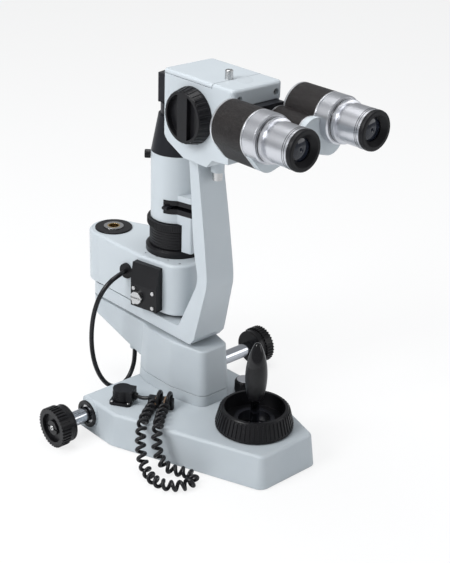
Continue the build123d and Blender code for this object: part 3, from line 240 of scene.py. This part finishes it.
def leatherette():
    """Prism housings: grained dark wrap between two bright rims, grey paint in front."""
    m = Shader("leatherette", (0.03, 0.022, 0.02), 0.5)
    cells = m.node("ShaderNodeTexVoronoi", feature="DISTANCE_TO_EDGE")
    cells.inputs["Scale"].default_value = 900
    m.link(m.place(), cells.inputs["Vector"])
    y = m.place("Y")
    wrap = m.band(y, WRAP_FRONT_Y, WRAP_BACK_Y)
    front = m.math("LESS_THAN", y, PAINT_FRONT_Y)
    m.specular(0.22)
    m.colour(wrap, m.mix_colour(front, BARE_METAL, PAINT), m.mix_colour(m.noise(120), WRAP_DARK, WRAP_PALE))
    m.link(m.math("MULTIPLY", m.flip(wrap), m.flip(front)), m.shader.inputs["Metallic"])
    m.roughness(wrap, 0.34, 0.4)
    grain = m.math("MULTIPLY", cells.outputs["Distance"], wrap)
    return m.finish(grain, strength=0.9, distance=0.0005, edge=0.0006)


def grip_plastic():
    """Grip: glossy top with a sloping border, finely ribbed and matte below."""
    m = Shader("grip", RUBBER_BLACK, 0.3)
    z = m.place("Z")
    border = m.math("ADD", GLOSS_Z, m.math("MULTIPLY", m.place("X"), GLOSS_SLOPE))
    top = m.math("GREATER_THAN", z, border)
    m.roughness(top, 0.3, 0.07)
    m.specular(0.35)
    ribs = m.math("SINE", m.math("MULTIPLY", z, 2 * pi / GRIP_PITCH), 0.0)
    return m.finish(m.math("MULTIPLY", ribs, m.flip(top)), strength=0.35, distance=0.0001, edge=0.0003)


def cord_material():
    m = Shader("cord jacket", DEEP_BLACK, 0.3)
    m.roughness(m.noise(150), 0.22, 0.36)
    m.specular(0.3)
    m.colour(m.noise(50), RUBBER_BLACK, CORD_GREY)
    return m.finish(m.noise(900), strength=0.1, distance=0.00005, edge=0.0002)


def lens_material():
    m = Shader("coated glass", (0.01, 0.014, 0.02), 0.04)
    m.coat(0.2)
    m.specular(0.35)
    m.colour(m.noise(60), GLASS_PALE, GLASS_DARK)
    return m.finish(edge=0.0002)


GREY = paint("grey paint")
BASE_GREY = base_paint()
BLACK = black_plastic()
SOFT_BLACK = black_plastic("soft black", RUBBER_BLACK, 0.42, 700)
SHINY_BLACK = black_plastic("shiny black", RUBBER_BLACK, 0.16, 500)
ANODISED = black_plastic("black anodised", (0.008, 0.0085, 0.011), 0.3, 2000)
CHROME = metal("chrome", (0.5, 0.52, 0.56), 0.09, (40, 1, 1), 200)
STEEL = metal("steel", (0.5, 0.5, 0.5), 0.26)
ALUMINIUM = metal("brushed aluminium", (0.56, 0.57, 0.6), 0.3, (1, 60, 1), 260)
BRASS = metal("brass", (0.62, 0.45, 0.2), 0.25)
LEATHERETTE = leatherette()
GRIP = grip_plastic()
CORD = cord_material()
LENS = lens_material()
NYLON = black_plastic("nylon", (0.6, 0.6, 0.57), 0.5)
TIE = black_plastic("wire tie", (0.12, 0.075, 0.045), 0.5)
PALE = paint("bare patch", 0.0002, 0.4)

LOOKS = {
    "base_housing": BASE_GREY, "axle_bushes": BLACK, "slide_sleeves": STEEL, "axle_shaft": CHROME,
    "wheels": BLACK, "hub_screws": SHINY_BLACK, "bottom_plate": ANODISED, "glide_shoe": NYLON,
    "gimbal_ring": STEEL, "joystick_rod": CHROME, "joystick_grip": GRIP, "height_ring": BLACK,
    "lift_screw": STEEL, "lift_belt": SOFT_BLACK, "guide_rods": STEEL, "column_plinth": BASE_GREY,
    "column_housing": BASE_GREY, "lift_carriage": BRASS, "swing_spindle": STEEL, "rod_socket": BRASS,
    "lock_knob": BLACK, "microscope_arm": GREY, "changer_housing": GREY, "changer_cover": GREY,
    "objective_mount": ANODISED, "objective_lens": LENS, "housing_screws": STEEL,
    "magnification_drum": ANODISED, "magnification_knobs": BLACK, "binocular_plate": ANODISED,
    "right_prism_housing": LEATHERETTE, "left_prism_housing": LEATHERETTE,
    "left_eyepiece_cap": ALUMINIUM, "right_eyepiece_cap": ALUMINIUM,
    "left_diopter_ring": ALUMINIUM, "right_diopter_ring": ALUMINIUM,
    "left_eyecup": SOFT_BLACK, "right_eyecup": SOFT_BLACK, "lamp_housing": GREY,
    "lamp_floor_plate": ANODISED, "boss_cap": BLACK, "lamp_bulb": LENS, "cable_grommet": SOFT_BLACK,
    "control_box": BLACK, "control_screws": STEEL, "tower_base": BLACK, "slit_ring": BLACK,
    "aperture_ring": BLACK, "lamp_tower": GREY, "filter_case": SHINY_BLACK, "filter_lever": ANODISED,
    "prism_cone": ANODISED, "prism_head": ANODISED, "tower_knob": BLACK, "connector_socket": BLACK,
    "cable_plug": SOFT_BLACK, "cable_clip": SOFT_BLACK, "lamp_cable": CORD, "lead_cable": CORD,
    "curly_cord": CORD,
}
for name, look in LOOKS.items():
    node = NODES[name]
    node.data.materials.clear()
    node.data.materials.append(look)
    for face in node.data.polygons:
        face.material_index = 0


# Helpers for the detail pieces
def add_object(name, data):
    """Object with its data, in the scene."""
    made = bpy.data.objects.new(name, data)
    bpy.context.scene.collection.objects.link(made)
    return made


def new_piece(name, build, material, body):
    """Mesh object from a bmesh builder, riding on a body."""
    mesh = bpy.data.meshes.new(name)
    bm = bmesh.new()
    build(bm)
    bmesh.ops.recalc_face_normals(bm, faces=bm.faces)
    bm.to_mesh(mesh)
    bm.free()
    piece = add_object(name, mesh)
    mesh.materials.append(material)
    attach(piece, body)
    return piece


def smooth(mesh):
    for face in mesh.polygons:
        face.use_smooth = True


def axes_matrix(x, y, z, origin):
    """Matrix from three axes and an origin."""
    return Matrix((
        (x.x, y.x, z.x, origin[0]),
        (x.y, y.y, z.y, origin[1]),
        (x.z, y.z, z.z, origin[2]),
        (0, 0, 0, 1),
    ))


def frame_of(origin, axis, start=None):
    """Matrix whose Z runs along an axis from an origin, X towards start."""
    z = Vector(axis).normalized()
    x = Vector(start) if start else z.orthogonal()
    x = (x - z * x.dot(z)).normalized()
    return axes_matrix(x, z.cross(x), z, origin)


def turned(bm, matrix, profile, steps):
    """Closed ring from a closed profile of (radius, height)."""
    rings = []
    for step in range(steps):
        angle = 2 * pi * step / steps
        rings.append([bm.verts.new(matrix @ Vector((radius * cos(angle), radius * sin(angle), height)))
                      for radius, height in profile])
    for a, b in zip(rings, rings[1:] + rings[:1]):
        for i in range(len(profile)):
            j = (i + 1) % len(profile)
            bm.faces.new((a[i], a[j], b[j], b[i]))


def turned_piece(name, frames, profile, material, body, steps=48):
    """Piece with one closed profile turned in each of its frames."""

    def build(bm):
        for matrix in frames:
            turned(bm, matrix, profile, steps)

    return new_piece(name, build, material, body)


def loft(bm, sections):
    """Closed solid through outlines that have the same number of corners."""
    for a, b in zip(sections, sections[1:]):
        for i in range(len(a)):
            j = (i + 1) % len(a)
            bm.faces.new((a[i], a[j], b[j], b[i]))
    bm.faces.new(sections[0][::-1])
    bm.faces.new(sections[-1])


def bar(bm, matrix, corners_low, corners_high, low, high):
    """Block between two outlines at two heights."""
    loft(bm, [
        [bm.verts.new(matrix @ Vector((x, y, low))) for x, y in corners_low],
        [bm.verts.new(matrix @ Vector((x, y, high))) for x, y in corners_high],
    ])


# A rib is sunk into its wall, and runs out near both ends, where it is only a fifth as deep
RIB_SINK = 0.0004
RIB_RUN_OUT = 0.05
RIB_END_DEPTH = 0.2
RIB_CREST = 0.3
RIB_ROWS = ((0, RIB_END_DEPTH), (RIB_RUN_OUT, 1), (1 - RIB_RUN_OUT, 1), (1, RIB_END_DEPTH))


def knurl(name, origin, axis, body, radius, low, high, count, depth, width, material=BLACK, top_radius=None):
    """Straight ribs round a cylinder, or round a cone if it has a top radius."""
    if top_radius is None:
        top_radius = radius
    matrix = frame_of(origin, axis)
    half = width / 2
    crest = width * RIB_CREST

    def build(bm):
        for index in range(count):
            turn = matrix @ Matrix.Rotation(2 * pi * index / count, 4, "Z")
            sections = []
            for share, grow in RIB_ROWS:
                wall = radius + (top_radius - radius) * share
                z = low + (high - low) * share
                out = wall + depth * grow
                corners = ((wall - RIB_SINK, -half), (out, -crest), (out, crest), (wall - RIB_SINK, half))
                sections.append([bm.verts.new(turn @ Vector((x, y, z))) for x, y in corners])
            loft(bm, sections)

    return new_piece(name, build, material, body)


BAND_STEPS = 72
BAND_SHOULDER = 0.7


def bands(name, origin, axis, body, radius, heights, width, proud, inner=0.0006, material=BLACK):
    """Thin raised rings round a cylinder, which read as turned grooves between them."""
    matrix = frame_of(origin, axis)
    shoulder = radius + proud * BAND_SHOULDER

    def build(bm):
        for height in heights:
            profile = [
                (radius - inner, height - width / 2), (shoulder, height - width / 2),
                (radius + proud, height - width / 4), (radius + proud, height + width / 4),
                (shoulder, height + width / 2), (radius - inner, height + width / 2),
            ]
            turned(bm, matrix, profile, BAND_STEPS)

    return new_piece(name, build, material, body)


# Height ring: ribs on the cone, and a band at its foot
knurl("ring_ribs", STICK, UP, "height_ring", radius=0.0320, low=0.0325, high=0.0462, count=52,
      depth=0.0008, width=0.0019, top_radius=0.0284)
bands("ring_foot_band", STICK, UP, "height_ring", radius=0.0322, heights=[0.0312], width=0.0012, proud=0.0002)

# Lock knob: knurled side and pale cap disc
knurl("lock_ribs", LOCK, UP, "lock_knob", radius=0.0080, low=0.0312, high=0.0405, count=34,
      depth=0.00045, width=0.0009)
DISC_PROFILE = [(0.0001, 0.0415), (0.0001, 0.04195), (0.0060, 0.04195), (0.0066, 0.0418), (0.0066, 0.0415)]
turned_piece("lock_disc", [frame_of(LOCK, UP)], DISC_PROFILE, ALUMINIUM, "lock_knob")

# Lamp rings: slit ring with fine grooves, aperture ring with knurling
bands("slit_grooves", TOWER, UP, "slit_ring", radius=0.0228,
      heights=[0.1535, 0.1560, 0.1585, 0.1610, 0.1635, 0.1657], width=0.0011, proud=0.0004)
knurl("aperture_ribs", TOWER, UP, "aperture_ring", radius=0.0250, low=0.1683, high=0.1735, count=84,
      depth=0.0004, width=0.0009)

# Shaft wheels: raised bands on the drum, and a steel pin in each hub
PIN_PROFILE = [(0.0008, -0.0012), (0.0022, -0.0012), (0.0022, 0.0005), (0.0019, 0.0008), (0.0008, 0.0008)]
for hand, side in SIDES:
    drum = (hand * WHEEL_DRUM_X, SHAFT_Y, SHAFT_Z)
    bands(f"wheel_bands_{side}", drum, (hand, 0, 0), "axle", radius=0.0158, heights=[0.0012, 0.0060],
          width=0.0012, proud=0.0003)
    hub = frame_of((hand * HUB_FACE_X, SHAFT_Y, SHAFT_Z), (hand, 0, 0))
    turned_piece(f"hub_pin_{side}", [hub], PIN_PROFILE, STEEL, "axle", steps=32)

# Eyepieces: turned rings and lens
LENS_PROFILE = [
    (0.000001, -0.2586), (0.003, -0.2585), (0.006, -0.2581), (0.0086, -0.2573), (0.0098, -0.2570),
    (0.0098, -0.2545), (0.000001, -0.2545),
]
for hand, side in SIDES:
    eye = (hand * EYE_HALF, AXIS_Y, EYE_Z)
    diopter = f"{side}_diopter"
    knurl(f"{side}_diopter_ribs", eye, BACK, diopter, radius=0.0166, low=-0.2355, high=-0.2332, count=90,
          depth=0.00025, width=0.0007, material=ALUMINIUM)
    bands(f"{side}_cap_gap", eye, BACK, f"{side}_prism", radius=0.0164, heights=[-0.2318], width=0.0008,
          proud=0.0001, inner=0.004, material=SOFT_BLACK)
    bands(f"{side}_barrel_lines", eye, BACK, diopter, radius=0.0152, heights=[-0.2545, -0.2562], width=0.0004,
          proud=0.00012, material=SOFT_BLACK)
    bands(f"{side}_cup_folds", eye, BACK, diopter, radius=0.0151, heights=[-0.2602], width=0.0008,
          proud=0.0003, material=SOFT_BLACK)
    tube = frame_of(eye, BACK)
    glass = turned_piece(f"{side}_eye_lens", [tube], LENS_PROFILE, LENS, diopter)
    smooth(glass.data)

# Magnification knobs: facets round the rim
for hand, side in SIDES:
    knurl(f"{side}_knob_facets", (hand * KNOB_X, KNOB_Y, KNOB_Z), (hand, 0, 0), "magnification",
          radius=0.0220, low=0.0006, high=0.0099, count=30, depth=0.0005, width=0.0026, top_radius=0.0198)

# Top of the cover: pale oval where a plate was
OVAL_STEPS = 48
OVAL_LENGTH = 0.0095
OVAL_WIDTH = 0.0062
OVAL_BOTTOM = -0.00024
OVAL_TOP = 0.00006


def oval(bm):
    angles = [2 * pi * i / OVAL_STEPS for i in range(OVAL_STEPS)]
    outline = [(OVAL_LENGTH * cos(a), OVAL_WIDTH * sin(a)) for a in angles]
    bar(bm, frame_of(at(2, -160, 315), UP), outline, outline, OVAL_BOTTOM, OVAL_TOP)


new_piece("cover_patch", oval, PALE, "microscope")

# Black wedge below the cover's lip, painted shade for the dark gap under the cover: its outline at the
# housing, and the smaller one in front
WEDGE_BACK = [(-0.0085, 0.0115), (0.0085, 0.0115), (0.0052, -0.001), (-0.0052, -0.001)]
WEDGE_FRONT = [(-0.0080, 0.0112), (0.0080, 0.0112), (0.0046, 0.0), (-0.0046, 0.0)]


def wedge(bm):
    matrix = frame_of(at(0, -176.8, 290), (0, -1, 0), (1, 0, 0))
    bar(bm, matrix, WEDGE_BACK, WEDGE_FRONT, -0.001, 0.003)


# Painted shade: a shiny black wedge that fills the gap under the cover's lip
new_piece("lip_painted_shade", wedge, SHINY_BLACK, "microscope")

# Plug: moulded ribs on its nose and rings round its cap
PLUG_TURN = radians(-56.5)
PLUG_DIR = Vector((cos(PLUG_TURN), sin(PLUG_TURN), 0))
PLUG_SIDE = Vector((-PLUG_DIR.y, PLUG_DIR.x, 0))
SOCKET = at(-60.5, -90, 0)
NOSE = SOCKET + Vector((0, 0, 0.0365))
bands("plug_nose_rings", NOSE, PLUG_DIR, "base", radius=0.0030, heights=[0.0095, 0.0107, 0.0119],
      width=0.0006, proud=0.0004, material=SOFT_BLACK)
bands("plug_rings", SOCKET, UP, "base", radius=0.0082, heights=[0.0350, 0.0368, 0.0386],
      width=0.0009, proud=0.0003, material=SOFT_BLACK)

# Socket flange: four screws, each this far from the middle both ways
SCREW_OUT = 0.0073
SCREW_PROFILE = [(0.0002, 0.0322), (0.0002, 0.0329), (0.0011, 0.0329), (0.0014, 0.0326), (0.0014, 0.0322)]
screw_frames = [frame_of(SOCKET + PLUG_DIR * SCREW_OUT * a + PLUG_SIDE * SCREW_OUT * b, UP)
                for a in (-1, 1) for b in (-1, 1)]
turned_piece("flange_screws", screw_frames, SCREW_PROFILE, STEEL, "base", steps=20)


# Cords
def route_spline(name, points, radius, material):
    """Curve whose control points are the route."""
    data = bpy.data.curves.new(name, "CURVE")
    data.dimensions = "3D"
    spline = data.splines.new("NURBS")
    spline.points.add(len(points) - 1)
    for point, place in zip(spline.points, points):
        point.co = (*place, 1)
    spline.order_u = 3
    spline.use_endpoint_u = True
    spline.resolution_u = 24
    data.bevel_depth = radius
    data.bevel_resolution = 6
    data.materials.append(material)
    return add_object(name, data)


def line_points(piece):
    """Points along a curve that has no bevel."""
    bpy.context.view_layer.update()
    mesh = bpy.data.meshes.new_from_object(piece)
    found = [v.co.copy() for v in mesh.vertices]
    bpy.data.meshes.remove(mesh)
    return found


def run_length(points):
    return sum((b - a).length for a, b in zip(points, points[1:]))


# Lamp cable: a tube from the grommet down to the gland under the column's nose
CABLE_RADIUS = 0.00205
GROMMET_Z = 0.1245
GROMMET_OUT = LAMP_X * -0.0326 + LAMP_V * -0.040
LAMP_CABLE = [Vector((GROMMET_OUT.x, AXIS_Y + GROMMET_OUT.y, GROMMET_Z))] + [at(*p) for p in (
    (-33, -48.6, 124.1), (-43.3, -48.2, 119.2), (-51, -46, 108.5), (-55.6, -44, 94), (-57.4, -42.6, 77),
    (-57.2, -42.2, 60), (-54.8, -42.6, 44), (-49.5, -43.4, 29), (-41, -44, 17), (-30, -44.2, 12),
    (-19.5, -43.6, 15), (-12.5, -42.6, 24), (-9.5, -42, 34), (-9.5, -42, 44.5))]
cable_guide = route_spline("lamp_cord_guide", LAMP_CABLE, 0, CORD)
cable_line = line_points(cable_guide)
cable_guide.data.bevel_depth = CABLE_RADIUS
bpy.context.view_layer.update()
evaluated_guide = cable_guide.evaluated_get(bpy.context.evaluated_depsgraph_get())
cable_mesh = bpy.data.meshes.new_from_object(evaluated_guide)
cable = add_object("lamp_cord", cable_mesh)
bpy.data.objects.remove(cable_guide)
smooth(cable_mesh)
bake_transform(cable)
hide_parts("lamp_cable")

# Coiled cord: radii of its wire, of the coil's outside and of the helix, and the helix's pitch
WIRE = 0.0016
COIL_OUTER = 0.0049
COIL = COIL_OUTER - WIRE
PITCH = 0.0072
STEPS_PER_TURN = 16

# The clip beyond the plug, where both strands of the coiled cord come out side by side
PLUG_REACH = 0.013
LEAD_LENGTH = 0.010
CLIP_HALF = 0.011
CLIP_Z = 0.0297
CLIP_DIR = Vector((PLUG_DIR.y, -PLUG_DIR.x, 0))
CLIP = SOCKET + PLUG_DIR * (PLUG_REACH + LEAD_LENGTH + CLIP_HALF) + Vector((0, 0, CLIP_Z))
STRAND_OUT = 0.003
STRAND_HALF = 0.00525
curl_out = CLIP + CLIP_DIR * STRAND_OUT - PLUG_DIR * STRAND_HALF
curl_back = CLIP + CLIP_DIR * STRAND_OUT + PLUG_DIR * STRAND_HALF

# Heights of the route on the base's top and on the floor
CURL_TOP = CLIP_Z + COIL_OUTER + 0.0004
TOP_MM = CURL_TOP * 1000
REST_MM = 5.0
CURLY = [Vector((curl_out.x, curl_out.y, CURL_TOP))] + [at(*p) for p in (
    (-55.5, -121.3, TOP_MM), (-66.5, -128, TOP_MM), (-77, -136, 33), (-84, -143, 20.5), (-87.5, -151, 9),
    (-90, -161, REST_MM), (-92, -172, REST_MM), (-89, -183, REST_MM), (-80.5, -191, REST_MM),
    (-70, -193, REST_MM), (-63.5, -187, REST_MM), (-65, -177.5, REST_MM), (-71.5, -169, REST_MM),
    (-76, -160.5, 10), (-76, -154, 21.5), (-70.5, -148.5, 34.5), (-60.5, -139.5, TOP_MM),
    (-49.7, -130, TOP_MM))] + [Vector((curl_back.x, curl_back.y, CURL_TOP))]


def helix_points(line):
    """Points of a helix round a line."""
    total = run_length(line)
    turns = total / PITCH
    count = int(turns * STEPS_PER_TURN)
    passed = 0.0
    marks = [0.0]
    for a, b in zip(line, line[1:]):
        passed += (b - a).length
        marks.append(passed)
    normal = (line[1] - line[0]).normalized().orthogonal().normalized()
    segment = 0
    made = []
    for index in range(count + 1):
        goal = total * index / count
        while segment < len(line) - 2 and marks[segment + 1] < goal:
            segment += 1
        share = (goal - marks[segment]) / (marks[segment + 1] - marks[segment])
        spot = line[segment].lerp(line[segment + 1], share)
        tangent = (line[segment + 1] - line[segment]).normalized()
        normal = (normal - tangent * normal.dot(tangent)).normalized()
        angle = 2 * pi * turns * index / count
        made.append(spot + normal * COIL * cos(angle) + tangent.cross(normal) * COIL * sin(angle))
    return made


curly_guide = route_spline("curly_guide", CURLY, 0, CORD)
helix = helix_points(line_points(curly_guide))
bpy.data.objects.remove(curly_guide)
curly = route_spline("curly_cord_wire", helix, WIRE, CORD)
curly.data.splines[0].resolution_u = 3
curly.data.bevel_resolution = 3
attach(curly, "base")
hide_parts("curly_cord")


def bundle_frames(shifts, height):
    """Frames across the clip, at shifts along it and a height above it."""
    return [frame_of(CLIP + PLUG_DIR * shift + Vector((0, 0, height)), PLUG_DIR, UP) for shift in shifts]


# Wire ties round the clip's bundle, and two closed rings that stand for loops of spare lead
TIE_PROFILE = [(0.0052, -0.0006), (0.0060, -0.0006), (0.0060, 0.0006), (0.0052, 0.0006)]
turned_piece("bundle_ties", bundle_frames((-0.0035, 0.0040), 0.0045), TIE_PROFILE, TIE, "base", steps=32)

LOOP_RADIUS = 0.0056
LOOP_SIDES = 12
LOOP_PROFILE = [(LOOP_RADIUS + WIRE * cos(2 * pi * i / LOOP_SIDES), WIRE * sin(2 * pi * i / LOOP_SIDES))
                for i in range(LOOP_SIDES)]
turned_piece("bundle_loops", bundle_frames((-0.0015, 0.0072), 0.0085), LOOP_PROFILE, CORD, "base")

# Floor and world: both are white to the camera's own rays
FLOOR_HALF = 3
FLOOR_GLOW = 0.8
SKY_LEVEL = 0.42

floor_mesh = bpy.data.meshes.new("floor")
corners = [(x * FLOOR_HALF, y * FLOOR_HALF, 0) for x, y in ((-1, -1), (1, -1), (1, 1), (-1, 1))]
floor_mesh.from_pydata(corners, [], [(0, 1, 2, 3)])
ground = add_object("floor", floor_mesh)
ground_look = Shader("floor", (0.82, 0.83, 0.84), 0.9)
camera_rays = ground_look.node("ShaderNodeLightPath")
seen = ground_look.math("MULTIPLY", camera_rays.outputs["Is Camera Ray"], FLOOR_GLOW)
glow = ground_look.node("ShaderNodeEmission")
floor_mix = ground_look.node("ShaderNodeMixShader")
ground_look.link(seen, floor_mix.inputs[0])
ground_look.link(ground_look.shader.outputs[0], floor_mix.inputs[1])
ground_look.link(glow.outputs[0], floor_mix.inputs[2])
ground_look.link(floor_mix.outputs[0], ground_look.tree.nodes["Material Output"].inputs[0])
floor_mesh.materials.append(ground_look.material)

world = bpy.data.worlds.new("studio")
bpy.context.scene.world = world
world.use_nodes = True
sky = world.node_tree.nodes["Background"]
sky.inputs["Color"].default_value = (0.95, 0.97, 1, 1)
sky.inputs["Strength"].default_value = SKY_LEVEL
white = world.node_tree.nodes.new("ShaderNodeBackground")
white.inputs["Color"].default_value = (1, 1, 1, 1)
white.inputs["Strength"].default_value = 1.0
chooser = world.node_tree.nodes.new("ShaderNodeMixShader")
rays = world.node_tree.nodes.new("ShaderNodeLightPath")
world.node_tree.links.new(rays.outputs["Is Camera Ray"], chooser.inputs[0])
world.node_tree.links.new(sky.outputs[0], chooser.inputs[1])
world.node_tree.links.new(white.outputs[0], chooser.inputs[2])
world.node_tree.links.new(chooser.outputs[0], world.node_tree.nodes["World Output"].inputs[0])

# Lights, all aimed at the middle of the object
TARGET = Vector((0, 0, 0.15))


def area_light(name, place, size, power):
    data = bpy.data.lights.new(name, "AREA")
    data.size = size
    data.energy = power
    lamp = add_object(name, data)
    lamp.location = place
    lamp.rotation_euler = (TARGET - Vector(place)).to_track_quat("-Z", "Y").to_euler()


area_light("key", (-1.1, 0.1, 1.0), size=0.6, power=15)
area_light("fill", (0.9, -1.0, 0.6), size=0.8, power=4)
area_light("top", (0.0, 0.2, 1.5), size=0.8, power=11)

# Camera at the photograph's viewing angle
ROLL = radians(1.9)
RIGHT = Vector((0.7325, -0.6807, 0.0))
FORWARD = Vector((0.617, 0.664, -0.4226))
UPWARD = Vector((0.2877, 0.3096, 0.9064))
CAMERA_PLACE = (-0.6145, -0.6883, 0.5660)
FOCAL_LENGTH = 98.46
cam_x = RIGHT * cos(ROLL) + UPWARD * sin(ROLL)
cam_y = UPWARD * cos(ROLL) - RIGHT * sin(ROLL)
camera_data = bpy.data.cameras.new("camera")
camera_data.sensor_fit = "HORIZONTAL"
camera_data.sensor_width = 36
camera_data.lens = FOCAL_LENGTH
camera = add_object("camera", camera_data)
camera.matrix_world = axes_matrix(cam_x, cam_y, -FORWARD, CAMERA_PLACE)
bpy.context.scene.camera = camera
bpy.context.scene.view_settings.view_transform = "Standard"
